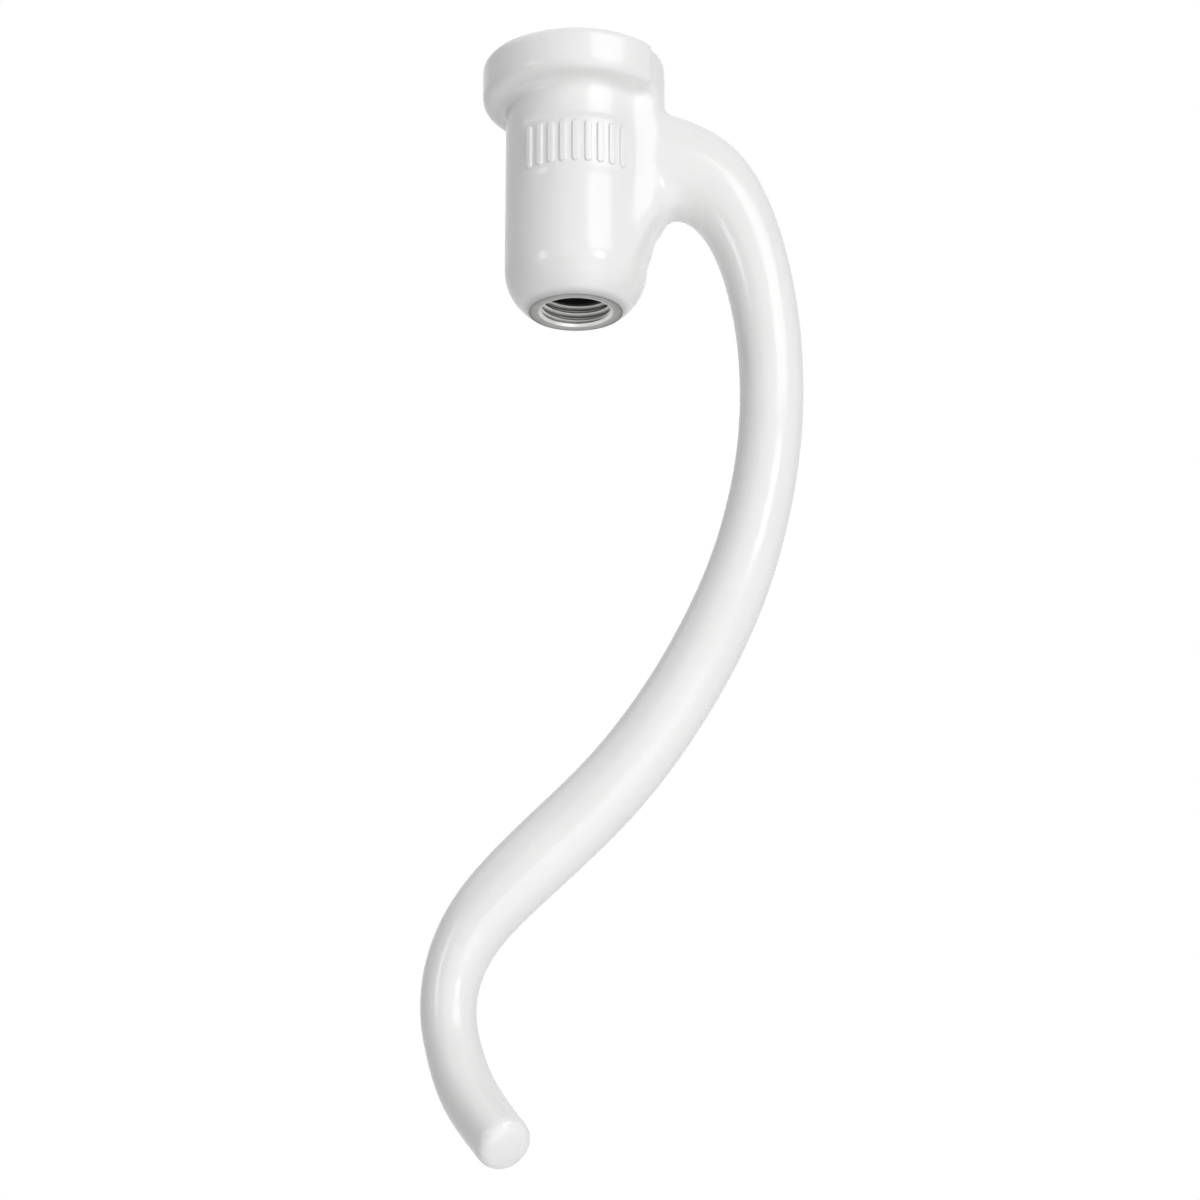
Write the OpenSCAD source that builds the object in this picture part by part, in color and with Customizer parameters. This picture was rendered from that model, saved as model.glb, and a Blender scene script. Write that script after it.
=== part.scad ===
// Dough hook for a stand mixer: one casting, a hub that hangs on the mixer's shaft and a curved arm.
// +Z is up along the shaft, the origin is the centre of the bore's mouth, and the arm leaves towards +X.

/* [Hub] */
// Outside diameter of the collar at the hub's mouth
collar_d = 32; // [29:0.5:40]
// Height of the collar, from its top to its underside
collar_h = 7.5; // [6.5:0.1:12]
// Radius on the collar's lower edge
collar_edge_r = 1.8; // [0.4:0.1:3]
// Radius on the collar's upper edge
collar_top_r = 0.3; // [0.2:0.1:1.5]
// Outside diameter of the hub below the collar
hub_d = 24; // [21:0.5:28]
// Height of the whole hub, from the collar's top to the flat on its nose
hub_h = 45; // [38:0.5:60]
// Fillet between the collar's underside and the hub
neck_fillet_r = 1.1; // [0.4:0.1:1.8]
// Radius that rounds the hub's nose
nose_r = 9; // [6:0.1:10]
// Diameter of the flat machined on the nose
nose_flat_d = 15.9; // [14:0.1:18]

/* [Bore and drive pin] */
// Diameter of the mixer's shaft
shaft_d = 12.7; // [10:0.1:16]
// Play of the shaft in its bore, on each side
shaft_play = 0.15; // [0.06:0.01:0.3]
// Diameter of the drive pin that crosses the shaft
pin_d = 4.7; // [3:0.1:5]
// Play of the pin in its slot, on each side
pin_play = 0.3; // [0.1:0.05:0.5]
// How far the pin's end stands from the shaft's axis
pin_reach = 10.4; // [9:0.1:11]
// Thickness of the lip that the pin locks under
lip_h = 2.6; // [1.5:0.1:4]
// Angle that the hook turns through to lock
lock_angle = 90; // [45:5:120]

/* [Threaded hole in the nose] */
// Diameter of the hole across the thread's crests
thread_hole_d = 11.5; // [9:0.1:12]
// Length of the threaded hole, up to where the bore opens out
thread_hole_h = 4.3; // [3:0.1:8]
// Bevel at the hole's mouth
thread_bevel = 0.3; // [0.1:0.05:0.6]

/* [Rib] */
// Diameter of the rib's outer face, measured across the hub's axis
rib_d = 30.3; // [27:0.1:38]
// Width of the rib's outer face
rib_w = 11.8; // [8:0.2:14]
// Angle by which each side of the rib flares out towards the hub
rib_flare = 22; // [0:1:30]
// Angle that the rib covers round the hub, at its widest
rib_angle = 84; // [70:1:100]
// Angle over which the collar is cut back to the rib's face
relief_angle = 70; // [60:1:80]
// Radius of the hollow under the arm's root
crotch_r = 4.3; // [3:0.1:6]
// Depth of the top of that hollow below the collar's top
crotch_depth = 28.75; // [26:0.25:36]
// Distance from the hub to the middle of that hollow
crotch_out = 5.6; // [5:0.1:8]
// Height over which the rib's foot fades into the hub
rib_fade_h = 5; // [2:0.5:8]

/* [Arm] */
// Depth of the arm's root below the collar's top
root_depth = 18; // [16:0.5:24]
// Height that the arm drops from its root to its tip
arm_drop = 165.8; // [130:0.2:210]
// Distance from the hub's axis to the middle of the arm, where it stands furthest out
arm_reach = 32.5; // [26:0.5:45]
// Distance that the lower arm leans behind the hub's middle plane
arm_lean = 11; // [0:0.5:16]
// Thickness of the arm at the widest part of its sweep
arm_d = 10.6; // [8:0.1:13]
// Radius on the edge of the arm's flat end
tip_edge_r = 2; // [0.3:0.1:3]

/* [Raised marks] */
// Number of raised bars on the front of the hub
mark_count = 9; // [5:1:11]
// Height of one bar
mark_h = 7.4; // [4:0.1:9]
// Width of one bar
mark_w = 1.1; // [0.5:0.1:1.2]
// Distance from one bar to the next, round the hub
mark_pitch = 2.1; // [1.8:0.1:2.2]
// Depth of the bars' middle below the collar's top
mark_depth = 19.2; // [16:0.1:26]
// How far the pad stands out from the hub
pad_t = 0.25; // [0.1:0.05:0.5]
// How far the bars stand out from the pad
mark_t = 0.35; // [0.1:0.05:0.6]

/* [Hidden] */
$fn = 96;
// All cuts run past the faces that they go through by this much
overrun = 1;
// How far the rib's foot starts below the hub's surface, so that the two surfaces cross cleanly
foot_sink = 0.25;
collar_r = collar_d / 2;
hub_r = hub_d / 2;
nose_flat_r = nose_flat_d / 2;
rib_r = rib_d / 2;
bore_r = shaft_d / 2 + shaft_play;
slot_w = pin_d + 2 * pin_play;
slot_r = pin_reach + pin_play;
slot_half_angle = asin(slot_w / 2 / slot_r);
// Height above the nose's flat at which its round begins
nose_rise = sqrt(pow(nose_r, 2) - pow(nose_flat_r - hub_r + nose_r, 2));
nose_depth = hub_h - nose_rise;
bore_depth = hub_h - thread_hole_h;

// The arm's path. Each row is one place on its middle line and its thickness there:
// [out, as a share of arm_reach; back, of arm_lean; down, of arm_drop; thickness seen from the
// front, of arm_d; thickness seen from the side, of arm_d]
path_shares = [
    [0.22, 0, 0.000, 2.05, 1.24],
    [0.40, 0, 0.003, 1.94, 1.22],
    [0.61, 0, 0.012, 1.66, 1.18],
    [0.757, 0, 0.037, 1.37, 1.13],
    [0.858, 0, 0.072, 1.18, 1.09],
    [0.932, 0, 0.117, 1.09, 1.06],
    [0.982, 0, 0.173, 1.04, 1.03],
    [1.000, 0, 0.229, 1.01, 1.01],
    [0.991, 0.02, 0.289, 1.00, 1.00],
    [0.948, 0.08, 0.349, 1.00, 1.00],
    [0.862, 0.16, 0.416, 1.02, 1.01],
    [0.738, 0.28, 0.478, 1.06, 1.02],
    [0.575, 0.41, 0.539, 1.08, 1.03],
    [0.375, 0.545, 0.598, 1.10, 1.04],
    [0.165, 0.655, 0.648, 1.13, 1.04],
    [-0.065, 0.755, 0.692, 1.15, 1.04],
    [-0.285, 0.845, 0.733, 1.12, 1.03],
    [-0.462, 0.92, 0.771, 1.04, 1.00],
    [-0.582, 0.99, 0.814, 0.92, 0.97],
    [-0.618, 0.973, 0.861, 0.86, 0.94],
    [-0.581, 0.82, 0.902, 0.847, 0.92],
    [-0.499, 0.465, 0.9485, 0.878, 0.90],
    [-0.332, -0.143, 0.997, 0.852, 0.91],
];
// Rings between two places of the path, sides of a ring, and steps that round the end's edge
ring_steps = 3;
ring_sides = 24;
edge_steps = 4;

function place(i) = [
    path_shares[i][0] * arm_reach,
    path_shares[i][1] * arm_lean,
    -root_depth - path_shares[i][2] * arm_drop,
    path_shares[i][3] * arm_d / 2,
    path_shares[i][4] * arm_d / 2,
];
last = len(path_shares) - 1;
// The smooth curve below cuts its corners by a sixth of the bend, so each corner is moved out by that
function corner(i) =
    i == 0 || i == last ? place(i)
    : place(i) - (place(i - 1) - 2 * place(i) + place(i + 1)) / 6;
function guide(i) =
    i < 0 ? 2 * corner(0) - corner(1)
    : i > last ? 2 * corner(last) - corner(last - 1)
    : corner(i);
// Cubic spline between places i and i + 1, and its direction, for t from 0 to 1
function spline(i, t) = (
    pow(1 - t, 3) * guide(i - 1)
    + (3 * pow(t, 3) - 6 * pow(t, 2) + 4) * guide(i)
    + (-3 * pow(t, 3) + 3 * pow(t, 2) + 3 * t + 1) * guide(i + 1)
    + pow(t, 3) * guide(i + 2)
) / 6;
function slope(i, t) = (
    -pow(1 - t, 2) * guide(i - 1)
    + (3 * pow(t, 2) - 4 * t) * guide(i)
    + (-3 * pow(t, 2) + 2 * t + 1) * guide(i + 1)
    + pow(t, 2) * guide(i + 2)
) / 2;
function xyz(v) = [v[0], v[1], v[2]];
function unit(v) = v / norm(v);
// One ring round the path: its centre, its direction, and its half thickness in and across the hub's plane
function ring(centre, along, in_plane, across) =
    let (
        side = unit([0, 1, 0] - along[1] * along),
        out = cross(side, along)
    )
    [for (k = [0:ring_sides - 1])
        let (turn = 360 * k / ring_sides)
        centre + in_plane * cos(turn) * out + across * sin(turn) * side];
path_rings = [
    for (i = [0:last - 1], step = [0:ring_steps - 1])
        let (t = step / ring_steps, p = spline(i, t))
        ring(xyz(p), unit(xyz(slope(i, t))), p[3], p[4])
];
tip_along = unit(xyz(slope(last - 1, 1)));
tip_rings = [
    for (step = [0:edge_steps])
        let (
            turn = 90 * step / edge_steps,
            p = place(last),
            inset = tip_edge_r * (1 - cos(turn))
        )
        ring(xyz(p) + tip_edge_r * sin(turn) * tip_along, tip_along, p[3] - inset, p[4] - inset)
];

// Half of the hub's section, turned round the axis
module hub_outline() {
    // Collar, with its rounded edges
    translate([0, -collar_h + collar_edge_r])
        square([collar_r, collar_h - collar_edge_r - collar_top_r]);
    translate([0, -collar_h])
        square([collar_r - collar_edge_r, collar_h]);
    translate([collar_r - collar_edge_r, -collar_h + collar_edge_r])
        circle(collar_edge_r);
    translate([0, -collar_top_r - collar_edge_r])
        square([collar_r - collar_top_r, collar_top_r + collar_edge_r]);
    translate([collar_r - collar_top_r, -collar_top_r])
        circle(collar_top_r);
    // Neck, with its fillet
    difference() {
        translate([0, -collar_h - neck_fillet_r])
            square([hub_r + neck_fillet_r, neck_fillet_r + collar_edge_r]);
        translate([hub_r + neck_fillet_r, -collar_h - neck_fillet_r])
            circle(neck_fillet_r);
    }
    // Body and rounded nose, which runs up into the body so that the two are one
    translate([0, -nose_depth])
        square([hub_r, nose_depth]);
    translate([0, -hub_h])
        square([nose_flat_r, nose_rise + nose_r]);
    intersection() {
        translate([hub_r - nose_r, -nose_depth])
            circle(nose_r);
        translate([0, -hub_h])
            square([hub_r + overrun, nose_rise + nose_r / 2]);
    }
}

// The rib seen from above: a straight-sided block that flares out towards the hub
module rib_plan() {
    half_w = rib_w / 2;
    face_x = sqrt(pow(rib_r, 2) - pow(half_w, 2));
    foot_half_w = half_w + face_x * tan(rib_flare);
    polygon([
        [0, -foot_half_w],
        [face_x, -half_w],
        [rib_r + overrun, -half_w],
        [rib_r + overrun, half_w],
        [face_x, half_w],
        [0, foot_half_w],
    ]);
}

// Rib that runs down the hub into the arm's root, with the hollow under the arm
module rib() {
    hollow_x = hub_r + crotch_out;
    hollow_z = crotch_depth + crotch_r;
    foot_x = hub_r - foot_sink;
    foot_z = hollow_z + rib_fade_h;
    intersection() {
        rotate_extrude(angle = rib_angle, start = -rib_angle / 2)
            difference() {
                polygon([
                    [bore_r, 0],
                    [rib_r, 0],
                    [rib_r, -hollow_z],
                    [hollow_x - crotch_r, -hollow_z],
                    [foot_x, -foot_z],
                    [bore_r, -foot_z],
                ]);
                translate([hollow_x, -hollow_z])
                    circle(crotch_r);
            }
        translate([0, 0, -foot_z - overrun])
            linear_extrude(foot_z + 2 * overrun)
                rib_plan();
    }
}

// The collar is cut back to the rib's face where the rib meets it
module rib_relief() {
    relief_h = collar_h + overrun;
    rotate_extrude(angle = relief_angle, start = -relief_angle / 2)
        translate([rib_r, -relief_h])
            square([collar_r - rib_r + overrun, relief_h + overrun]);
}

module arm() {
    rings = concat(path_rings, tip_rings);
    count = len(rings);
    polyhedron(
        points = [for (r = rings) each r],
        faces = concat(
            [[for (k = [0:ring_sides - 1]) k]],
            [for (j = [0:count - 2], k = [0:ring_sides - 1])
                let (
                    a = j * ring_sides + k,
                    b = j * ring_sides + (k + 1) % ring_sides
                )
                each [[a, a + ring_sides, b], [b, a + ring_sides, b + ring_sides]]],
            [[for (k = [ring_sides - 1:-1:0]) (count - 1) * ring_sides + k]]
        )
    );
}

// Pad with a row of plain bars, on the front of the hub
module marks() {
    pad_r = hub_r + pad_t;
    mark_angle = mark_pitch / pad_r * 180 / PI;
    pad_angle = mark_angle * (mark_count + 1);
    pad_h = mark_h + 2 * mark_w;
    rotate_extrude(angle = pad_angle, start = -90 - pad_angle / 2)
        translate([bore_r, -mark_depth - pad_h / 2])
            square([pad_r - bore_r, pad_h]);
    for (i = [0:mark_count - 1])
        rotate([0, 0, mark_angle * (i - (mark_count - 1) / 2)])
            translate([0, -bore_r, -mark_depth])
                rotate([90, 0, 0])
                    linear_extrude(pad_r + mark_t - bore_r) {
                        square([mark_w, mark_h - mark_w], center = true);
                        for (end = [-1, 1])
                            translate([0, end * (mark_h - mark_w) / 2])
                                circle(d = mark_w);
                    }
}

// Bore for the shaft, with the slot that lets its pin in and the channel where the pin locks
module shaft_bore() {
    translate([0, 0, -bore_depth])
        cylinder(r = bore_r, h = bore_depth + overrun);
    translate([-slot_w / 2, 0, -lip_h - slot_w])
        cube([slot_w, slot_r, lip_h + slot_w + overrun]);
    channel_start = 90 - lock_angle - slot_half_angle;
    rotate_extrude(angle = lock_angle + slot_half_angle, start = channel_start)
        translate([0, -lip_h - slot_w])
            square([slot_r, slot_w]);
}

module thread_hole() {
    translate([0, 0, -hub_h - overrun])
        cylinder(d = thread_hole_d, h = thread_hole_h + 2 * overrun);
    translate([0, 0, -hub_h])
        cylinder(d1 = thread_hole_d + 2 * thread_bevel, d2 = thread_hole_d, h = thread_bevel);
}

module dough_hook() {
    color("white")
        difference() {
            union() {
                difference() {
                    rotate_extrude()
                        hub_outline();
                    rib_relief();
                }
                rib();
                arm();
                marks();
            }
            shaft_bore();
            thread_hole();
        }
}

dough_hook();
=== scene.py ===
# %% [markdown]
# # A dough hook for a stand mixer
# The object is one aluminium casting: a hub that hangs on the mixer's shaft, and an arm that sweeps
# down from it and curls forward at its end. A smooth white coating covers it, except where the
# casting was machined afterwards: the flat on the nose, the bore, and the tapped hole.
# The script makes it in the same order as the foundry and the machine shop do. The raw shapes are
# added and melted into one body, then the machined cuts are made, and then come finish and light.

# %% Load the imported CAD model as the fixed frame
import math

import bpy
from mathutils import Matrix, Vector


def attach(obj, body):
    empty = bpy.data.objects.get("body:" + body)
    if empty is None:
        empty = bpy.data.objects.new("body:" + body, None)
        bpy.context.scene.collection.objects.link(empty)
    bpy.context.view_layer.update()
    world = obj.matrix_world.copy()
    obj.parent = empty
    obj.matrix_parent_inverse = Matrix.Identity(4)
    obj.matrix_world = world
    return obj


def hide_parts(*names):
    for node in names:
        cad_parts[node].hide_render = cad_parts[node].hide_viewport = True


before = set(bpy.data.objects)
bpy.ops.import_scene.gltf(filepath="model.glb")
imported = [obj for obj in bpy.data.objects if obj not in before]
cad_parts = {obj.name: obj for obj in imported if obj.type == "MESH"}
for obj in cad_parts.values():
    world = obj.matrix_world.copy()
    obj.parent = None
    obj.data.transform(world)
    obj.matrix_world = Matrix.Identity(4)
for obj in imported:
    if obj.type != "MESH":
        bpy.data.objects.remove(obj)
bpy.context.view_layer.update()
MM = 0.001

# %% [markdown]
# ## The camera
# The photograph was taken with a long lens from below the hook, looking up by 17.8 degrees. Three
# circles of the hub fixed the lens and the place: a 92 mm lens, 475 mm in front of the shaft's
# axis. A camera turned by 90 degrees about X looks level along +Y, so the tilt is added to that.

# %% Set up the camera
LENS_MM, SENSOR_MM = 92.12, 36
LOOK_UP = math.radians(17.81)
CAMERA_PLACE = Vector((4.06, -474.56, -248.0)) * MM

bpy.ops.object.camera_add(location=CAMERA_PLACE, rotation=(math.pi / 2 + LOOK_UP, 0, 0))
camera = bpy.context.object
camera.name = "photo_camera"
camera.data.lens = LENS_MM
camera.data.sensor_width = SENSOR_MM
bpy.context.scene.camera = camera
print("camera at", tuple(round(v, 4) for v in camera.location))

# %% [markdown]
# ## Helpers for working by hand
# Operators act on whatever is selected, so each step starts with nothing selected. An outline is
# drawn as a person draws one: a small plane is merged to a single point, and the point is extruded
# from corner to corner. It lies in the XZ plane, with x as the distance from the shaft's axis.

# %% Selection and outline helpers
def nothing_selected():
    if bpy.context.object and bpy.context.object.mode != "OBJECT":
        bpy.ops.object.mode_set(mode="OBJECT")
    bpy.ops.object.select_all(action="DESELECT")


def only(piece):
    nothing_selected()
    piece.select_set(True)
    bpy.context.view_layer.objects.active = piece


def edit(piece, select="SELECT"):
    only(piece)
    bpy.ops.object.mode_set(mode="EDIT")
    bpy.ops.mesh.select_all(action=select)


def outline(name, corners, closed=False):
    nothing_selected()
    bpy.ops.mesh.primitive_plane_add(size=MM)
    piece = bpy.context.object
    piece.name = name
    edit(piece)
    bpy.ops.mesh.merge(type="CENTER")
    before = Vector((0, 0, 0))
    for number, (x, z) in enumerate(corners):
        here = Vector((x, 0, z)) * MM
        if number == 0:
            bpy.ops.transform.translate(value=here)
        else:
            bpy.ops.mesh.extrude_vertices_move(TRANSFORM_OT_translate={"value": here - before})
        before = here
    if closed:
        bpy.ops.mesh.select_all(action="SELECT")
        bpy.ops.mesh.edge_face_add()
    bpy.ops.object.mode_set(mode="OBJECT")
    return piece


def arc(x, z, radius, start, end, steps):
    """Points on an arc round (x, z), from one angle to another, in degrees from +x towards +z."""
    turns = [math.radians(start + (end - start) * i / steps) for i in range(steps + 1)]
    return [(x + radius * math.cos(t), z + radius * math.sin(t)) for t in turns]


# %% [markdown]
# ## Turning a shape
# Spin sweeps an outline round the Z axis. A full turn gives a turned body, and a part of a turn
# gives a sector. Spin can leave a shape inside out, so doubles are merged and the normals are made
# to point outwards each time.

# %% Turning helper
SAME_PLACE = 0.001 * MM


def tidy_normals(piece):
    edit(piece)
    bpy.ops.mesh.remove_doubles(threshold=SAME_PLACE)
    bpy.ops.mesh.normals_make_consistent(inside=False)
    bpy.ops.object.mode_set(mode="OBJECT")


def spin(piece, start, end, steps):
    """Sweeps the outline round Z from one angle to another, in degrees."""
    edit(piece)
    bpy.ops.transform.rotate(
        value=-math.radians(start), orient_axis="Z", center_override=(0, 0, 0)
    )
    bpy.ops.mesh.select_all(action="SELECT")
    bpy.ops.mesh.spin(
        steps=steps, angle=math.radians(end - start), center=(0, 0, 0), axis=(0, 0, -1)
    )
    tidy_normals(piece)


def report(piece):
    corners = [piece.matrix_world @ Vector(c) for c in piece.bound_box]
    low = [round(min(c[i] for c in corners) / MM, 2) for i in range(3)]
    high = [round(max(c[i] for c in corners) / MM, 2) for i in range(3)]
    faces = len(piece.data.polygons)
    open_edges = open_edge_count(piece)
    print(f"{piece.name}: {faces} faces, {open_edges} open edges, {low} to {high} mm")


def open_edge_count(piece):
    uses = {}
    for face in piece.data.polygons:
        for key in face.edge_keys:
            uses[key] = uses.get(key, 0) + 1
    return sum(1 for count in uses.values() if count != 2)


# %% [markdown]
# ## The hub
# The hub is a body of turning: a collar with a rounded lower edge, a small fillet under it, a
# straight body, and a rounded nose. Its nose is left a little too long here, because the flat on
# it is cut after the casting is made, and that is what gives the flat its crisp rim.

# %% Turn the hub's blank
COLLAR_R, COLLAR_H, COLLAR_EDGE_R, COLLAR_TOP_R = 16.0, 7.5, 1.8, 0.3
HUB_R, HUB_H, NECK_FILLET_R = 12.0, 45.0, 1.1
NOSE_R, NOSE_FLAT_R, HUB_STEPS = 9.0, 7.95, 160
nose_rise = math.sqrt(NOSE_R**2 - (NOSE_FLAT_R - HUB_R + NOSE_R) ** 2)
nose_z = -(HUB_H - nose_rise)
hub = outline(
    "hub_blank",
    [(0, 0)]
    + arc(COLLAR_R - COLLAR_TOP_R, -COLLAR_TOP_R, COLLAR_TOP_R, 90, 0, steps=3)
    + arc(COLLAR_R - COLLAR_EDGE_R, -COLLAR_H + COLLAR_EDGE_R, COLLAR_EDGE_R, 0, -90, steps=10)
    + arc(HUB_R + NECK_FILLET_R, -COLLAR_H - NECK_FILLET_R, NECK_FILLET_R, 90, 180, steps=8)
    + arc(HUB_R - NOSE_R, nose_z, NOSE_R, 0, -90, steps=24)
    + [(0, nose_z - NOSE_R)],
)
spin(hub, 0, 360, HUB_STEPS)
report(hub)

# %% [markdown]
# ## The rib and its hollow
# On the arm's side a rib runs down the hub, slightly inside the collar's edge, and carries the
# arm's root. Under the arm it curves in to the hub, round a hollow. One outline gives both: it
# goes down the rib's face, follows the hollow's arc, and fades into the hub. Spun, it is a sector,
# and two cuts with Bisect then give it the straight sides that flare out towards the hub.

# %% Spin the rib, and cut its sides
RIB_R, RIB_W, RIB_FLARE, RIB_HALF_ANGLE = 15.15, 11.8, 22.0, 42.0
CROTCH_R, CROTCH_DEPTH, CROTCH_OUT, RIB_FADE_H = 4.3, 28.75, 5.6, 5.0
INNER_R, RIB_TOP, RIB_SINK = 7.5, 0.35, 0.25
hollow_x, hollow_z = HUB_R + CROTCH_OUT, -(CROTCH_DEPTH + CROTCH_R)
reach = math.degrees(math.acos((RIB_R - hollow_x) / CROTCH_R))
rib = outline(
    "rib",
    [(INNER_R, -RIB_TOP), (RIB_R, -RIB_TOP)]
    + arc(hollow_x, hollow_z, CROTCH_R, reach, 180, steps=10)
    + [(HUB_R - RIB_SINK, hollow_z - RIB_FADE_H), (INNER_R, hollow_z - RIB_FADE_H)],
    closed=True,
)
spin(rib, -RIB_HALF_ANGLE, RIB_HALF_ANGLE, steps=28)


def fill_openings():
    bpy.ops.mesh.select_all(action="DESELECT")
    bpy.ops.mesh.select_non_manifold()
    bpy.ops.mesh.fill_holes(sides=0)


face_x = math.sqrt(RIB_R**2 - (RIB_W / 2) ** 2)
flare = math.radians(RIB_FLARE)
for side in (-1, 1):
    edit(rib)
    bpy.ops.mesh.bisect(
        plane_co=Vector((face_x, side * RIB_W / 2, 0)) * MM,
        plane_no=(math.sin(flare), side * math.cos(flare), 0),
        threshold=SAME_PLACE, clear_outer=True,
    )
    fill_openings()
tidy_normals(rib)
report(rib)

# %% [markdown]
# ## The collar gives way to the rib
# Where the rib meets the collar the collar is cut back, so that both share one face there. The
# cutter is a sector too: a small square outside the rib's face, spun through an angle. Like every
# cutter here, it reaches a little past the face where it enters.

# %% Cut the collar back over the rib
def take_away(piece, cutter, solver="EXACT"):
    """Boolean difference. The cut faces take the cutter's own material."""
    only(piece)
    cut = piece.modifiers.new("cut", "BOOLEAN")
    cut.operation = "DIFFERENCE"
    cut.solver = solver
    cut.object = cutter
    cut.material_mode = "TRANSFER"
    bpy.ops.object.modifier_apply(modifier=cut.name)
    only(cutter)
    bpy.ops.object.delete()


RELIEF_HALF_ANGLE, RELIEF_R, RELIEF_DEPTH, OVERCUT = 35, 18, 9, 1
relief = outline(
    "collar_relief",
    [(RIB_R, -RELIEF_DEPTH), (RELIEF_R, -RELIEF_DEPTH), (RELIEF_R, OVERCUT), (RIB_R, OVERCUT)],
    closed=True,
)
spin(relief, -RELIEF_HALF_ANGLE, RELIEF_HALF_ANGLE, steps=24)
report(relief)
take_away(hub, relief)
report(hub)

# %% [markdown]
# ## The arm
# The arm is a bar of changing section that follows a free curve in space. A person could extrude
# a circle along it; here a circle is set at every place of the curve, turned square to it, and
# all the circles are bridged into one skin. Each row of the table is a place on the middle line:
# out towards +X, back towards +Y, down, and the thickness seen from the front and from the side.

# %% The arm's path
ARM_REACH, ARM_LEAN, ARM_DROP, ARM_D, ROOT_DEPTH = 32.5, 11.0, 165.8, 10.6, 18.0
PATH = [
    (0.22, 0, 0.000, 2.05, 1.24), (0.40, 0, 0.003, 1.94, 1.22), (0.61, 0, 0.012, 1.66, 1.18),
    (0.757, 0, 0.037, 1.37, 1.13), (0.858, 0, 0.072, 1.18, 1.09), (0.932, 0, 0.117, 1.09, 1.06),
    (0.982, 0, 0.173, 1.04, 1.03), (1.000, 0, 0.229, 1.01, 1.01), (0.991, 0.02, 0.289, 1.00, 1.00),
    (0.948, 0.08, 0.349, 1.00, 1.00), (0.862, 0.16, 0.416, 1.02, 1.01),
    (0.738, 0.28, 0.478, 1.06, 1.02), (0.575, 0.41, 0.539, 1.08, 1.03),
    (0.375, 0.545, 0.598, 1.10, 1.04), (0.165, 0.655, 0.648, 1.13, 1.04),
    (-0.065, 0.755, 0.692, 1.15, 1.04), (-0.285, 0.845, 0.733, 1.12, 1.03),
    (-0.462, 0.92, 0.771, 1.04, 1.00), (-0.582, 0.99, 0.814, 0.92, 0.97),
    (-0.618, 0.973, 0.861, 0.86, 0.94), (-0.581, 0.82, 0.902, 0.847, 0.92),
    (-0.499, 0.465, 0.9485, 0.878, 0.90), (-0.332, -0.143, 0.997, 0.852, 0.91),
]
places = [
    (Vector((out * ARM_REACH, back * ARM_LEAN, -ROOT_DEPTH - down * ARM_DROP)),
     Vector((seen_front, seen_side)) * ARM_D / 2)
    for out, back, down, seen_front, seen_side in PATH
]


def smooth_guides(values):
    """Guide points for a cubic spline that passes very near the values."""
    guides = list(values)
    for i in range(1, len(values) - 1):
        guides[i] = values[i] - (values[i - 1] - 2 * values[i] + values[i + 1]) / 6
    return [2 * guides[0] - guides[1]] + guides + [2 * guides[-1] - guides[-2]]


def along_spline(guides, i, t):
    """The spline between places i and i + 1, and its direction, for t from 0 to 1."""
    a, b, c, d = guides[i : i + 4]
    point = a * (1 - t) ** 3 + b * (3 * t**3 - 6 * t**2 + 4)
    point += c * (-3 * t**3 + 3 * t**2 + 3 * t + 1) + d * t**3
    slope = -a * (1 - t) ** 2 + b * (3 * t**2 - 4 * t) + c * (-3 * t**2 + 2 * t + 1) + d * t**2
    return point / 6, slope / 2


line = smooth_guides([place for place, half in places])
girth = smooth_guides([half for place, half in places])
print("arm places:", len(places))

# %% Set a circle at every place and bridge them
RINGS_PER_PLACE, RING_SIDES, TIP_EDGE_R, TIP_CROWN = 5, 56, 2.0, 0.25


def ring_turn(direction):
    """The turn that stands a circle square to a direction, its own Y axis in line with the rest."""
    along = direction.normalized()
    side = (Vector((0, 1, 0)) - along.y * along).normalized()
    return Matrix((side.cross(along), side, along)).transposed()


def add_ring(centre, direction, half):
    nothing_selected()
    bpy.ops.mesh.primitive_circle_add(
        vertices=RING_SIDES, radius=half[0] * MM,
        location=centre * MM, rotation=ring_turn(direction).to_euler(),
    )
    bpy.context.object.scale.y = half[1] / half[0]
    return bpy.context.object


steps = [(i, k / RINGS_PER_PLACE) for i in range(len(places) - 1) for k in range(RINGS_PER_PLACE)]
steps.append((len(places) - 2, 1.0))
rings = []
for i, t in steps:
    centre, direction = along_spline(line, i, t)
    half, _ = along_spline(girth, i, t)
    rings.append(add_ring(centre, direction, half))
tip_direction = direction.normalized()
tip = centre + (TIP_EDGE_R - TIP_CROWN) * tip_direction
rings.append(add_ring(tip, tip_direction, half))
for ring in rings:
    ring.select_set(True)
bpy.ops.object.join()
bpy.ops.object.transform_apply(location=True, rotation=True, scale=True)
arm = bpy.context.object
arm.name = "arm"
edit(arm)
bpy.ops.mesh.bridge_edge_loops()
bpy.ops.object.mode_set(mode="OBJECT")
report(arm)

# %% [markdown]
# ## The arm's end
# The arm ends in a slightly crowned face that is turned towards the front, with a wide round edge.
# The open rings at both ends are filled, the edge of the face is bevelled, and the face that is
# left is inset three times with a little height each time, which makes the crown.

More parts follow.
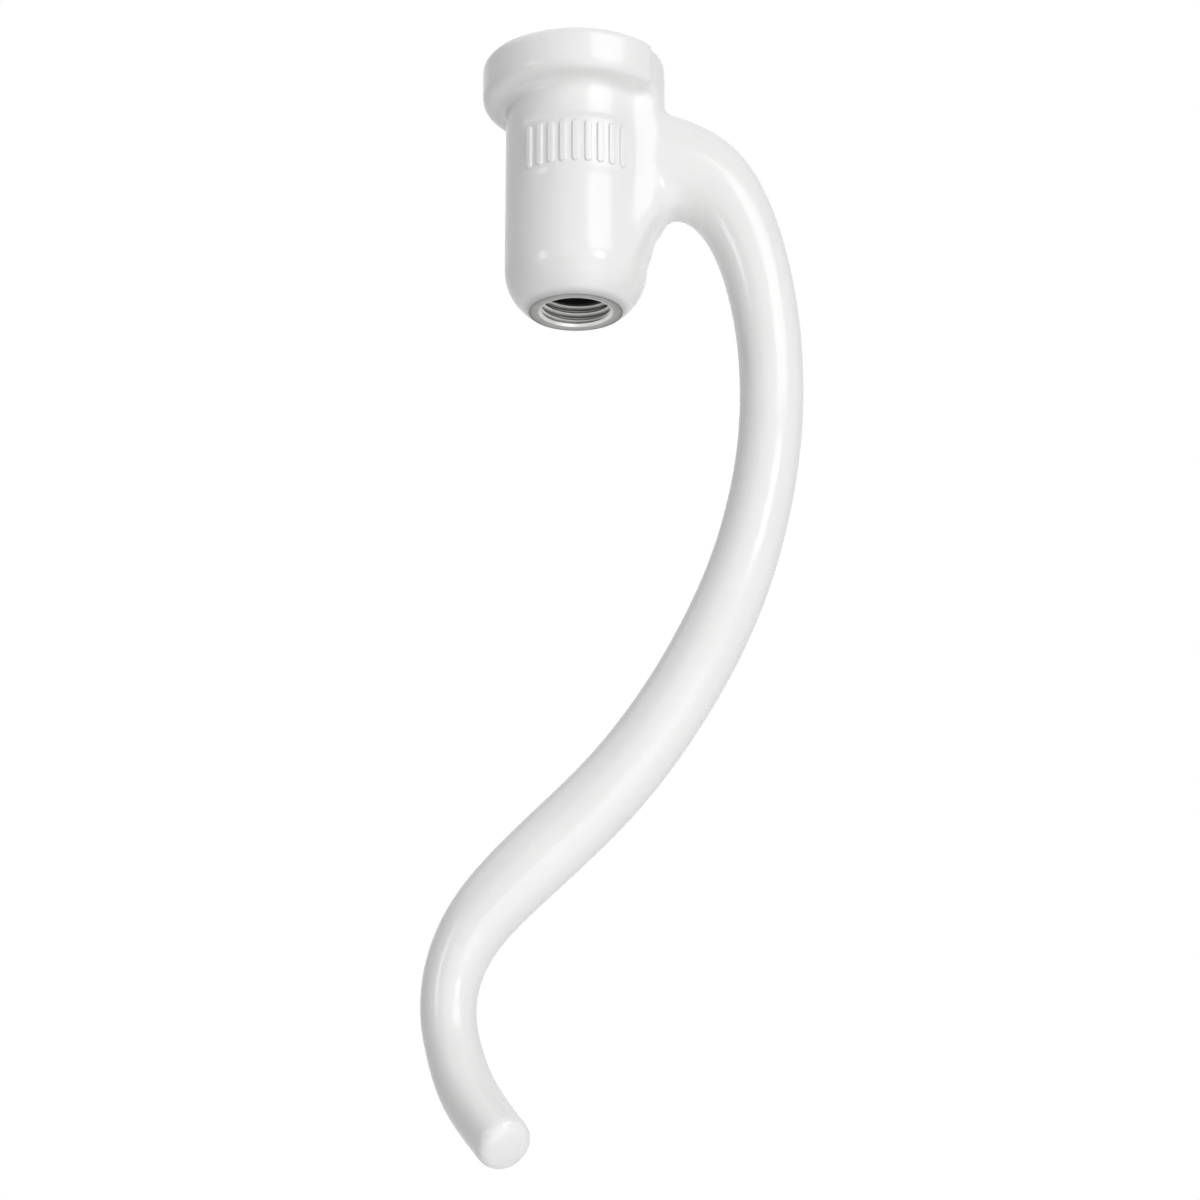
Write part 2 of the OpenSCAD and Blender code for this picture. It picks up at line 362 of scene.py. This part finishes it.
# %% Close the arm and round its end
IN_PLANE, END_REACH, MIDDLE_REACH, EDGE_SEGMENTS = 0.01, 6, 1, 8
CROWN_INSETS = ((0.7, 0.5), (0.8, 0.3), (0.7, 0.2))  # width in mm, share of the crown's height
edit(arm, "DESELECT")
fill_openings()
bpy.ops.mesh.select_all(action="DESELECT")
bpy.ops.object.mode_set(mode="OBJECT")
for edge in arm.data.edges:
    ends = [arm.data.vertices[i].co / MM - tip for i in edge.vertices]
    edge.select = all(
        abs(v.dot(tip_direction)) < IN_PLANE and v.length < END_REACH for v in ends
    )
print("edges round the end:", sum(edge.select for edge in arm.data.edges))
bpy.ops.object.mode_set(mode="EDIT")
bpy.ops.mesh.select_mode(type="EDGE")
bpy.ops.mesh.bevel(offset=(TIP_EDGE_R - TIP_CROWN) * MM, segments=EDGE_SEGMENTS)
bpy.ops.mesh.select_mode(type="FACE")
bpy.ops.mesh.select_all(action="DESELECT")
bpy.ops.object.mode_set(mode="OBJECT")
for face in arm.data.polygons:
    face.select = len(face.vertices) > 8 and (face.center / MM - tip).length < MIDDLE_REACH
bpy.ops.object.mode_set(mode="EDIT")
for width, share in CROWN_INSETS:
    bpy.ops.mesh.inset(thickness=width * MM, depth=share * TIP_CROWN * MM)
bpy.ops.mesh.select_mode(type="VERT")
bpy.ops.object.mode_set(mode="OBJECT")
tidy_normals(arm)
report(arm)

# %% [markdown]
# ## The pad for the marks
# On the front of the hub the casting has a slightly raised pad. It is another sector, a thin one.

# %% Spin the pad
MARK_COUNT, MARK_PITCH, MARK_H, MARK_W, MARK_DEPTH = 9, 2.1, 7.4, 1.1, 19.2
PAD_T = 0.25
pad_r = HUB_R + PAD_T
mark_angle = math.degrees(MARK_PITCH / pad_r)
pad_half_angle = mark_angle * (MARK_COUNT + 1) / 2
pad_half_h = MARK_H / 2 + MARK_W
pad = outline(
    "pad",
    [(INNER_R, -MARK_DEPTH - pad_half_h), (pad_r, -MARK_DEPTH - pad_half_h),
     (pad_r, -MARK_DEPTH + pad_half_h), (INNER_R, -MARK_DEPTH + pad_half_h)],
    closed=True,
)
spin(pad, -90 - pad_half_angle, -90 + pad_half_angle, steps=24)
report(pad)

# %% [markdown]
# ## One casting
# In the mould the metal runs together, so no edge between the shapes stays sharp. The pieces are
# joined, and a voxel remesh melts them into one closed skin, which is then smoothed: a little all
# over, as the coating does, and much more round the arm's root, where the real casting has wide
# fillets. A vertex group says where: it is full near the root and fades out with distance.

# %% Melt the pieces together and smooth the skin
VOXEL = 0.45
only(hub)
for piece in (rib, arm, pad):
    piece.select_set(True)
bpy.context.view_layer.objects.active = hub
bpy.ops.object.join()
casting = bpy.context.object
casting.name = "dough_hook_casting"
casting.data.name = "dough_hook_casting"
melt = casting.modifiers.new("melt", "REMESH")
melt.mode = "VOXEL"
melt.voxel_size = VOXEL * MM
melt.use_smooth_shade = True
bpy.ops.object.modifier_apply(modifier=melt.name)
report(casting)


def smooth(piece, name, repeat, where=None):
    only(piece)
    step = piece.modifiers.new(name, "SMOOTH")
    step.factor = 0.5
    step.iterations = repeat
    if where:
        step.vertex_group = where
    bpy.ops.object.modifier_apply(modifier=step.name)


def fade(distance, near, far):
    return min(1.0, max(0.0, (far - distance) / (far - near)))


# Each range runs from where the weight is full to where it is gone.
ROOT_CENTRE, ROOT_RANGE = Vector((15.5, 0, -20)), (9, 16)
RIB_FOOT_ANGLE, RIB_FOOT_RANGE, RIB_OUT_RANGE = 33, (12, 22), (17, 20)
COLLAR_RANGE, NOSE_RANGE, PAD_RANGE = (-9.5, -7.5), (38, 42), (-8.3, -6.5)
ROOT_ROUNDS, SKIN_ROUNDS = 60, 10


def root_weight(place):
    """Full where the arm and the rib grow out of the hub, and fading out round there."""
    round_root = fade((place - ROOT_CENTRE).length, *ROOT_RANGE)
    round_hub = abs(math.degrees(math.atan2(place.y, place.x)))
    along_rib = fade(abs(round_hub - RIB_FOOT_ANGLE), *RIB_FOOT_RANGE)
    along_rib *= fade(math.hypot(place.x, place.y), *RIB_OUT_RANGE)
    below_collar = fade(place.z, *COLLAR_RANGE)
    above_nose = fade(-place.z, *NOSE_RANGE)
    clear_of_pad = fade(-place.x, *PAD_RANGE)
    return max(round_root, along_rib) * below_collar * above_nose * clear_of_pad


root = casting.vertex_groups.new(name="root_fillets")
for vertex in casting.data.vertices:
    weight = root_weight(vertex.co / MM)
    if weight > 0:
        root.add([vertex.index], weight, "REPLACE")
smooth(casting, "root", ROOT_ROUNDS, root.name)
smooth(casting, "skin", SKIN_ROUNDS)
report(casting)

# %% [markdown]
# ## The machined cuts
# After casting and coating the hub is machined, which leaves crisp edges and bare metal: the flat
# on the nose, the bore for the shaft, and the slot and channel where the shaft's drive pin goes
# in and locks. Each cutter carries the bare metal's material, and the cut faces take it over.

# %% Materials to fill in later, and the cutters' one
coating = bpy.data.materials.new("white_coating")
bare_metal = bpy.data.materials.new("machined_aluminium")
casting.data.materials.clear()
for material in (coating, bare_metal):
    material.use_nodes = True
    casting.data.materials.append(material)
print("casting materials:", [m.name for m in casting.data.materials])

# %% Cut the nose flat, the bore, and the pin's slot and channel
BORE_R, BORE_DEPTH, BORE_BEVEL, BORE_ABOVE, BORE_STEPS = 6.5, 40.7, 0.4, 2, 128
SLOT_W, SLOT_R, LIP_H, LOCK_ANGLE, CHANNEL_INNER_R = 5.3, 10.7, 2.6, 90, 2
NOSE_CUT_H, NOSE_CUT_SIDES = 4, 96


def cutter(piece):
    piece.data.materials.clear()
    piece.data.materials.append(bare_metal)
    return piece


nothing_selected()
bpy.ops.mesh.primitive_cylinder_add(
    vertices=NOSE_CUT_SIDES, radius=HUB_R * MM, depth=NOSE_CUT_H * MM,
    location=(0, 0, -(HUB_H + NOSE_CUT_H / 2) * MM),
)
take_away(casting, cutter(bpy.context.object), "MANIFOLD")
report(casting)

bore = outline(
    "bore_cutter",
    [(0, BORE_ABOVE), (BORE_R + BORE_BEVEL + BORE_ABOVE, BORE_ABOVE), (BORE_R, -BORE_BEVEL),
     (BORE_R, -BORE_DEPTH), (0, -BORE_DEPTH)],
)
spin(bore, 0, 360, BORE_STEPS)
take_away(casting, cutter(bore), "MANIFOLD")
report(casting)

nothing_selected()
bpy.ops.mesh.primitive_cube_add(
    size=1, location=(0, SLOT_R / 2 * MM, (OVERCUT - LIP_H - SLOT_W) / 2 * MM)
)
slot = bpy.context.object
bpy.ops.transform.resize(value=(SLOT_W * MM, SLOT_R * MM, (OVERCUT + LIP_H + SLOT_W) * MM))
bpy.ops.object.transform_apply(location=True, rotation=True, scale=True)
take_away(casting, cutter(slot), "MANIFOLD")
half_slot = math.degrees(math.asin(SLOT_W / 2 / SLOT_R))
channel = outline(
    "channel_cutter",
    [(CHANNEL_INNER_R, -LIP_H - SLOT_W), (SLOT_R, -LIP_H - SLOT_W), (SLOT_R, -LIP_H),
     (CHANNEL_INNER_R, -LIP_H)],
    closed=True,
)
spin(channel, 90 - LOCK_ANGLE - half_slot, 90, steps=40)
take_away(casting, cutter(channel), "MANIFOLD")
report(casting)

# %% [markdown]
# ## The thread in the nose
# The hole is drilled first, with a small bevel at its mouth. A tap then cuts the thread, so here a
# tap is modelled and taken away. Its side is one tooth that the Screw modifier winds up the axis,
# a pitch for each turn. Bisect trims both ends flat, and filling them makes a closed cutter of it.
# The thread starts just inside the bevel, and the bevel is the thin bright lip of the real hole.

# %% Drill the nose, wind the tap, and cut the thread
THREAD_CREST_R, THREAD_ROOT_R, THREAD_PITCH, MOUTH_BEVEL = 5.75, 6.3, 1.27, 0.38
THREAD_START, TAP_SINK, TOOTH_FROM, TOOTH_TO = 0.42, 0.15, 0.44, 0.56
TAP_TURNS, TAP_STEPS, TAP_BELOW, DRILL_INTO_BORE, TAP_INTO_BORE = 7, 96, 3, 0.5, 0.6
drill = outline(
    "drill",
    [(0, -HUB_H - OVERCUT), (THREAD_CREST_R + MOUTH_BEVEL + OVERCUT, -HUB_H - OVERCUT),
     (THREAD_CREST_R, -HUB_H + MOUTH_BEVEL), (THREAD_CREST_R, -BORE_DEPTH + DRILL_INTO_BORE),
     (0, -BORE_DEPTH + DRILL_INTO_BORE)],
)
spin(drill, 0, 360, BORE_STEPS)
take_away(casting, cutter(drill), "MANIFOLD")

tap = outline(
    "tap",
    [(THREAD_CREST_R - TAP_SINK, 0), (THREAD_ROOT_R, TOOTH_FROM * THREAD_PITCH),
     (THREAD_ROOT_R, TOOTH_TO * THREAD_PITCH), (THREAD_CREST_R - TAP_SINK, THREAD_PITCH)],
)
only(tap)
wind = tap.modifiers.new("wind", "SCREW")
wind.axis = "Z"
wind.screw_offset = THREAD_PITCH * MM
wind.iterations = TAP_TURNS
wind.steps = wind.render_steps = TAP_STEPS
wind.use_merge_vertices = True
wind.merge_threshold = 2 * SAME_PLACE
bpy.ops.object.modifier_apply(modifier=wind.name)
edit(tap)
bpy.ops.mesh.remove_doubles(threshold=5 * SAME_PLACE)
bpy.ops.transform.translate(value=(0, 0, -(HUB_H + TAP_BELOW) * MM))
for height, above in ((-BORE_DEPTH + TAP_INTO_BORE, True), (-HUB_H + THREAD_START, False)):
    bpy.ops.mesh.select_all(action="SELECT")
    bpy.ops.mesh.bisect(
        plane_co=(0, 0, height * MM), plane_no=(0, 0, 1), threshold=SAME_PLACE,
        clear_outer=above, clear_inner=not above,
    )
fill_openings()
tidy_normals(tap)
report(tap)
take_away(casting, cutter(tap), "MANIFOLD")
report(casting)

# %% [markdown]
# ## The raised bars
# Nine plain bars stand on the pad. One is modelled: a circle is pulled apart into a long shape
# with round ends, extruded out of the hub, and then inset again and again with a little height
# each time. The first insets flare like a fillet at the bar's foot and the last ones round its
# top. It is then copied round the hub, and all the bars are added to the casting at once.

# %% Model one bar, copy it, and add the row to the casting
FLARE, BAR_INSIDE, BAR_RISE, BAR_SIDES, OFF_MIDDLE = 0.16, 1, 0.94, 24, 0.001
BAR_INSETS = (  # width and height in mm
    (0.06, 0.03), (0.04, 0.05), (0.02, 0.09), (0.01, 0.1), (0.03, 0.08), (0.06, 0.05), (0.1, 0.02)
)
nothing_selected()
bpy.ops.mesh.primitive_circle_add(
    vertices=BAR_SIDES, radius=(MARK_W / 2 + FLARE) * MM, fill_type="NGON",
    location=(0, -(pad_r - BAR_INSIDE) * MM, -MARK_DEPTH * MM), rotation=(math.pi / 2, 0, 0),
)
bar = bpy.context.object
bar.name = "bar"
bpy.ops.object.transform_apply(location=True, rotation=True, scale=True)
for sign in (1, -1):
    edit(bar, "DESELECT")
    bpy.ops.object.mode_set(mode="OBJECT")
    for vertex in bar.data.vertices:
        vertex.select = (vertex.co.z / MM + MARK_DEPTH) * sign > OFF_MIDDLE
    bpy.ops.object.mode_set(mode="EDIT")
    bpy.ops.transform.translate(value=(0, 0, sign * (MARK_H - MARK_W) / 2 * MM))
edit(bar)
bpy.ops.mesh.extrude_region_move(TRANSFORM_OT_translate={"value": (0, -BAR_RISE * MM, 0)})
for width, height in BAR_INSETS:
    bpy.ops.mesh.inset(thickness=width * MM, depth=height * MM)
tidy_normals(bar)
report(bar)
bars = [bar]
for number in range(1, MARK_COUNT):
    only(bar)
    bpy.ops.object.duplicate()
    bars.append(bpy.context.object)
for number, copy in enumerate(bars):
    edit(copy)
    turn = math.radians(mark_angle) * (number - (MARK_COUNT - 1) / 2)
    bpy.ops.transform.rotate(value=-turn, orient_axis="Z", center_override=(0, 0, 0))
nothing_selected()
for copy in bars:
    copy.select_set(True)
bpy.context.view_layer.objects.active = bar
bpy.ops.object.join()
bar.data.materials.clear()
bar.data.materials.append(coating)
only(casting)
grow = casting.modifiers.new("bars", "BOOLEAN")
grow.operation = "UNION"
grow.solver = "MANIFOLD"
grow.object = bar
grow.material_mode = "TRANSFER"
bpy.ops.object.modifier_apply(modifier=grow.name)
only(bar)
bpy.ops.object.delete()
report(casting)

# %% [markdown]
# ## Smooth and sharp
# The coated skin shades smoothly, and the machined edges stay sharp: every edge that turns by more
# than 30 degrees is marked sharp.

# %% Shade the casting
SHARP_ANGLE = 30
only(casting)
bpy.ops.object.shade_smooth_by_angle(angle=math.radians(SHARP_ANGLE))
triangles = sum(len(face.vertices) - 2 for face in casting.data.polygons)
print("casting triangles:", triangles, "materials:", [m.name for m in casting.data.materials])

# %% [markdown]
# ## An effect that both finishes use
# Nothing real has one even roughness. This node group turns a noise pattern, in the piece's own
# coordinates, into a value between a low and a high one. The noise itself seldom goes below 0.3 or
# above 0.7, so that range is what gets spread. The coating and the bare metal use the group with
# their own scales and ranges.

# %% Build the variation group
NOISE_LOW, NOISE_HIGH, NOISE_DETAIL = 0.3, 0.7, 3


def new_socket(group, name, kind, way, value=None):
    socket = group.interface.new_socket(name=name, in_out=way, socket_type=kind)
    if value is not None:
        socket.default_value = value


variation = bpy.data.node_groups.new("surface_variation", "ShaderNodeTree")
new_socket(variation, "Scale", "NodeSocketFloat", "INPUT", 100)
new_socket(variation, "Low", "NodeSocketFloat", "INPUT", 0)
new_socket(variation, "High", "NodeSocketFloat", "INPUT", 1)
new_socket(variation, "Value", "NodeSocketFloat", "OUTPUT")
add = variation.nodes.new
group_in, group_out = add("NodeGroupInput"), add("NodeGroupOutput")
place_node, noise = add("ShaderNodeTexCoord"), add("ShaderNodeTexNoise")
spread = add("ShaderNodeMapRange")
noise.inputs["Detail"].default_value = NOISE_DETAIL
link = variation.links.new
link(place_node.outputs["Object"], noise.inputs["Vector"])
link(group_in.outputs["Scale"], noise.inputs["Scale"])
link(noise.outputs["Fac"], spread.inputs["Value"])
spread.inputs["From Min"].default_value = NOISE_LOW
spread.inputs["From Max"].default_value = NOISE_HIGH
link(group_in.outputs["Low"], spread.inputs["To Min"])
link(group_in.outputs["High"], spread.inputs["To Max"])
link(spread.outputs["Result"], group_out.inputs["Value"])
print("group inputs:", [item.name for item in variation.interface.items_tree])

# %% [markdown]
# ## The white coating
# The coating is baked on: white, glossy, and thick enough to hide the cast metal's grain. It still
# follows the casting's slow waves, about a centimetre long, and it has a faint orange peel of its
# own, a millimetre or two across. Both go into the bumps. The colour changes by a hair over a few
# centimetres. Round the machined flat the coating thins out and is greyer, which is measured from
# the flat's middle.

# %% Make the white coating
def node(material, kind, **values):
    made = material.node_tree.nodes.new(kind)
    for name, value in values.items():
        made.inputs[name.replace("_", " ")].default_value = value
    return made


def vary(material, scale, low=0, high=1):
    made = material.node_tree.nodes.new("ShaderNodeGroup")
    made.node_tree = variation
    made.inputs["Scale"].default_value = scale
    made.inputs["Low"].default_value = low
    made.inputs["High"].default_value = high
    return made.outputs["Value"]


COATING_LIGHT, COATING_DARK = (0.85, 0.85, 0.845, 1), (0.825, 0.825, 0.82, 1)
THIN_R, FULL_R, THIN_TONE = 7.7, 9.3, 0.62
TINT_SCALE, WAVE_SCALE, GLOSS_SCALE, PEEL_SCALE = 40, 90, 300, 600
coat_link = coating.node_tree.links.new
shader = coating.node_tree.nodes["Principled BSDF"]
tint = coating.node_tree.nodes.new("ShaderNodeMix")
tint.data_type = "RGBA"
tint.inputs["A"].default_value = COATING_DARK
tint.inputs["B"].default_value = COATING_LIGHT
coat_link(vary(coating, TINT_SCALE), tint.inputs["Factor"])
from_flat = coating.node_tree.nodes.new("ShaderNodeVectorMath")
from_flat.operation = "DISTANCE"
from_flat.inputs[1].default_value = (0, 0, -HUB_H * MM)
coat_link(coating.node_tree.nodes.new("ShaderNodeTexCoord").outputs["Object"], from_flat.inputs[0])
thin = node(
    coating, "ShaderNodeMapRange",
    From_Min=THIN_R * MM, From_Max=FULL_R * MM, To_Min=THIN_TONE, To_Max=1,
)
thin.interpolation_type = "SMOOTHSTEP"
coat_link(from_flat.outputs["Value"], thin.inputs["Value"])
thinned = coating.node_tree.nodes.new("ShaderNodeVectorMath")
thinned.operation = "SCALE"
coat_link(tint.outputs["Result"], thinned.inputs[0])
coat_link(thin.outputs["Result"], thinned.inputs["Scale"])
coat_link(thinned.outputs["Vector"], shader.inputs["Base Color"])
coat_link(vary(coating, GLOSS_SCALE, low=0.16, high=0.2), shader.inputs["Roughness"])
peel = node(coating, "ShaderNodeBump", Strength=0.1, Distance=0.005 * MM)
waves = node(coating, "ShaderNodeBump", Strength=0.3, Distance=0.04 * MM)
coat_link(vary(coating, PEEL_SCALE), peel.inputs["Height"])
coat_link(vary(coating, WAVE_SCALE), waves.inputs["Height"])
coat_link(waves.outputs["Normal"], peel.inputs["Normal"])
coat_link(peel.outputs["Normal"], shader.inputs["Normal"])
shader.inputs["IOR"].default_value = 1.5
print("coating nodes:", len(coating.node_tree.nodes))

# %% [markdown]
# ## The bare metal
# A lathe tool leaves fine rings on the faces it cuts. The Wave texture draws rings round the Z
# axis, which is the hub's own axis, and they go into the bump. Marks too fine to see draw each
# reflection out across them, so the shader's tangent runs round the same axis. The tone depends
# on the distance from the axis too: the thread is bright metal, the hole's lip is painted brighter
# as a highlight, the flat on the nose is a duller grey, and its rim is painted darker as shade
# where it meets the coating. Deep in the bore the metal is painted darker as the hole's shade,
# with some grease.

# %% Make the machined aluminium
TONE_SCALE, GRAIN_SCALE, RING_SCALE, BLUE_SHARE = 600, 1500, 700, 0.99
metal_nodes, metal_link = bare_metal.node_tree.nodes, bare_metal.node_tree.links.new
metal = metal_nodes["Principled BSDF"]
metal.inputs["Metallic"].default_value = 0.9
where = metal_nodes.new("ShaderNodeTexCoord")
split = metal_nodes.new("ShaderNodeSeparateXYZ")
metal_link(where.outputs["Object"], split.inputs["Vector"])
flat = metal_nodes.new("ShaderNodeCombineXYZ")
metal_link(split.outputs["X"], flat.inputs["X"])
metal_link(split.outputs["Y"], flat.inputs["Y"])
radius = metal_nodes.new("ShaderNodeVectorMath")
radius.operation = "LENGTH"
metal_link(flat.outputs["Vector"], radius.inputs[0])


def graded(source, low, high, stops):
    """Turns a length into a colour ramp, with stops given in millimetres and grey levels."""
    spread = metal_nodes.new("ShaderNodeMapRange")
    spread.inputs["From Min"].default_value = low * MM
    spread.inputs["From Max"].default_value = high * MM
    metal_link(source, spread.inputs["Value"])
    ramp = metal_nodes.new("ShaderNodeValToRGB")
    points = ramp.color_ramp.elements
    while len(points) < len(stops):
        points.new(0.5)
    for point, (place, grey) in zip(points, stops):
        point.position = (place - low) / (high - low)
        point.color = (grey, grey, grey * BLUE_SHARE, 1)
    metal_link(spread.outputs["Result"], ramp.inputs["Fac"])
    return ramp.outputs["Color"]


def multiply(first, second):
    mix = metal_nodes.new("ShaderNodeMix")
    mix.data_type, mix.blend_type = "RGBA", "MULTIPLY"
    mix.inputs["Factor"].default_value = 1
    metal_link(first, mix.inputs["A"])
    metal_link(second, mix.inputs["B"])
    return mix.outputs["Result"]


# Round the axis the thread is bright metal, the lip is painted brighter as a highlight, and the
# flat's rim is painted darker as shade.
TONES_WITH_PAINTED_LIP_AND_RIM = ((5, 0.75), (6.15, 0.8), (6.35, 0.42), (7.2, 0.36), (7.9, 0.2))
# Deep in the bore the metal is painted darker as the hole's shade, with some grease.
BORE_PAINTED_SHADE = ((-46, 1), (-41.8, 1), (-40.2, 0.4))
tone_with_painted_lip_and_rim = graded(radius.outputs["Value"], low=5, high=9, stops=TONES_WITH_PAINTED_LIP_AND_RIM)
painted_bore_shade = graded(split.outputs["Z"], low=-46, high=-38, stops=BORE_PAINTED_SHADE)
tone = multiply(multiply(tone_with_painted_lip_and_rim, painted_bore_shade), vary(bare_metal, TONE_SCALE, low=0.86))
metal_link(tone, metal.inputs["Base Color"])
metal_link(vary(bare_metal, GRAIN_SCALE, low=0.3, high=0.42), metal.inputs["Roughness"])
round_axis = node(bare_metal, "ShaderNodeVectorMath")
round_axis.operation = "CROSS_PRODUCT"
round_axis.inputs[0].default_value = (0, 0, 1)
metal_link(where.outputs["Object"], round_axis.inputs[1])
tangent = metal_nodes.new("ShaderNodeVectorTransform")
tangent.vector_type, tangent.convert_from, tangent.convert_to = "VECTOR", "OBJECT", "WORLD"
metal_link(round_axis.outputs["Vector"], tangent.inputs["Vector"])
metal_link(tangent.outputs["Vector"], metal.inputs["Tangent"])
metal.inputs["Anisotropic"].default_value = 0.6
tool_marks = node(bare_metal, "ShaderNodeTexWave", Scale=RING_SCALE, Distortion=0.6, Detail=2)
tool_marks.wave_type = "RINGS"
tool_marks.rings_direction = "Z"
cut_marks = node(bare_metal, "ShaderNodeBump", Strength=0.2, Distance=0.008 * MM)
metal_link(where.outputs["Object"], tool_marks.inputs["Vector"])
metal_link(tool_marks.outputs["Fac"], cut_marks.inputs["Height"])
metal_link(cut_marks.outputs["Normal"], metal.inputs["Normal"])
print("metal nodes:", len(metal_nodes))

# %% [markdown]
# ## The casting takes the CAD node's place
# The casting rides on the part's one body and stands for its one CAD node, which is then hidden.

# %% Hang the casting on the frame
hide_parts("dough_hook")
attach(casting, "root")

# %% [markdown]
# ## Floor and background
# The hook hangs above a plain pale floor. The background is white where the camera sees it, or
# sees it reflected, and dim as a source of light, so that it doesn't flatten the shapes. The floor
# glows most of the way to white in the same way, and the rest of it still takes the shadow. The
# glow grows with the distance from the middle, so that the floor melts into the background.

# %% Lay the floor and set the world
FLOOR_Z, FLOOR_SIZE, AMBIENT = -0.55, 8, 0.1
FLOOR_GLOW, GLOW_FROM, GLOW_FULL = 0.8, 0.3, 2.2
nothing_selected()
bpy.ops.mesh.primitive_plane_add(size=FLOOR_SIZE, location=(0, 0, FLOOR_Z))
floor = bpy.context.object
floor.name = "floor"
pale = bpy.data.materials.new("pale_floor")
pale.use_nodes = True
floor.data.materials.append(pale)


def seen_directly(tree):
    """A mask: 1 for what the camera sees, reflected or through glass too, and 0 for light."""
    ray = tree.nodes.new("ShaderNodeLightPath")
    mask = ray.outputs["Is Camera Ray"]
    for way in ("Is Glossy Ray", "Is Transmission Ray"):
        either = tree.nodes.new("ShaderNodeMath")
        either.operation = "MAXIMUM"
        tree.links.new(mask, either.inputs[0])
        tree.links.new(ray.outputs[way], either.inputs[1])
        mask = either.outputs[0]
    return mask


world = bpy.data.worlds.new("white_studio")
bpy.context.scene.world = world
world.use_nodes = True
sky, sky_link = world.node_tree.nodes, world.node_tree.links.new
dim, bright = sky["Background"], sky.new("ShaderNodeBackground")
for background, strength in ((dim, AMBIENT), (bright, 1)):
    background.inputs["Color"].default_value = (1, 1, 1, 1)
    background.inputs["Strength"].default_value = strength
blend_world = sky.new("ShaderNodeMixShader")
sky_link(seen_directly(world.node_tree), blend_world.inputs["Fac"])
sky_link(dim.outputs[0], blend_world.inputs[1])
sky_link(bright.outputs[0], blend_world.inputs[2])
sky_link(blend_world.outputs[0], sky["World Output"].inputs["Surface"])

tiles, tile_link = pale.node_tree.nodes, pale.node_tree.links.new
plain, glow = tiles["Principled BSDF"], tiles.new("ShaderNodeEmission")
share = tiles.new("ShaderNodeMath")
plain.inputs["Base Color"].default_value = (0.9, 0.9, 0.9, 1)
plain.inputs["Roughness"].default_value = 0.9
share.operation = "MULTIPLY"
from_middle = tiles.new("ShaderNodeVectorMath")
from_middle.operation = "LENGTH"
tile_link(tiles.new("ShaderNodeTexCoord").outputs["Object"], from_middle.inputs[0])
growing = node(
    pale, "ShaderNodeMapRange",
    From_Min=GLOW_FROM, From_Max=GLOW_FULL, To_Min=FLOOR_GLOW, To_Max=1,
)
tile_link(from_middle.outputs["Value"], growing.inputs["Value"])
tile_link(growing.outputs["Result"], share.inputs[1])
blend_floor = tiles.new("ShaderNodeMixShader")
tile_link(seen_directly(pale.node_tree), share.inputs[0])
tile_link(share.outputs[0], blend_floor.inputs["Fac"])
tile_link(plain.outputs[0], blend_floor.inputs[1])
tile_link(glow.outputs[0], blend_floor.inputs[2])
tile_link(blend_floor.outputs[0], tiles["Material Output"].inputs["Surface"])
print("floor at", FLOOR_Z, "ambient", AMBIENT)

# %% [markdown]
# ## Studio light
# Softboxes stand round the hook. The small front and left ones make the two soft spots on the
# shoulder of the nose, and the upper one the wide streaks down the hub and the arm. The others are
# large, so that they give light but no sharp reflection. The overhead one and the strong one at
# the back are hidden from reflections, so that the outline stays clean, and a weak one beside the
# latter gives the back its streak. Each points at the middle of the hook and is placed by its
# direction.

# %% Stand the softboxes
TARGET = Vector((5, 0, -90)) * MM


def softbox(name, side, height, distance, width, length, power, reflected=True):
    """side and height are degrees: to the right of the camera's side, and above the level."""
    a, b = math.radians(side), math.radians(height)
    way = Vector((math.sin(a) * math.cos(b), -math.cos(a) * math.cos(b), math.sin(b)))
    place = TARGET + way * distance
    turn = (-way).to_track_quat("-Z", "Y").to_euler()
    nothing_selected()
    bpy.ops.object.light_add(type="AREA", location=place, rotation=turn)
    lamp = bpy.context.object
    lamp.name = name
    lamp.data.shape = "RECTANGLE"
    lamp.data.size, lamp.data.size_y = width, length
    lamp.data.energy = power
    lamp.visible_camera = False
    lamp.visible_glossy = reflected
    print(name, "at", tuple(round(v, 2) for v in place), power, "W")


# name, degrees to the side and up, distance, width and length in metres, watts
softbox("front_softbox", 37, 5, 0.8, 0.28, 0.22, 0.9)
softbox("upper_softbox", 38, 30, 0.8, 0.50, 0.34, 1.6)
softbox("low_softbox", 23, -18, 0.8, 0.50, 0.30, 0.45)
softbox("left_softbox", -53, 8, 0.8, 0.18, 0.22, 0.5)
softbox("fill_softbox", 4, 20, 1.2, 1.40, 1.20, 3.3)
softbox("right_softbox", 85, 15, 1.0, 0.90, 0.90, 0.45)
softbox("top_softbox", -75, 60, 1.0, 0.90, 0.90, 1.8)
softbox("overhead_softbox", 20, 85, 1.0, 0.50, 0.50, 1.8, reflected=False)
softbox("floor_softbox", 30, -42, 0.42, 0.40, 0.40, 0.52)
softbox("back_softbox", 180, 15, 1.2, 0.50, 0.90, 5.0, reflected=False)
softbox("back_streak_softbox", 180, 20, 1.2, 0.24, 0.60, 0.5)

# %% [markdown]
# ## The view transform
# The standard view transform shows the colours as they are written.

# %% Set the view transform
bpy.context.scene.view_settings.view_transform = "Standard"
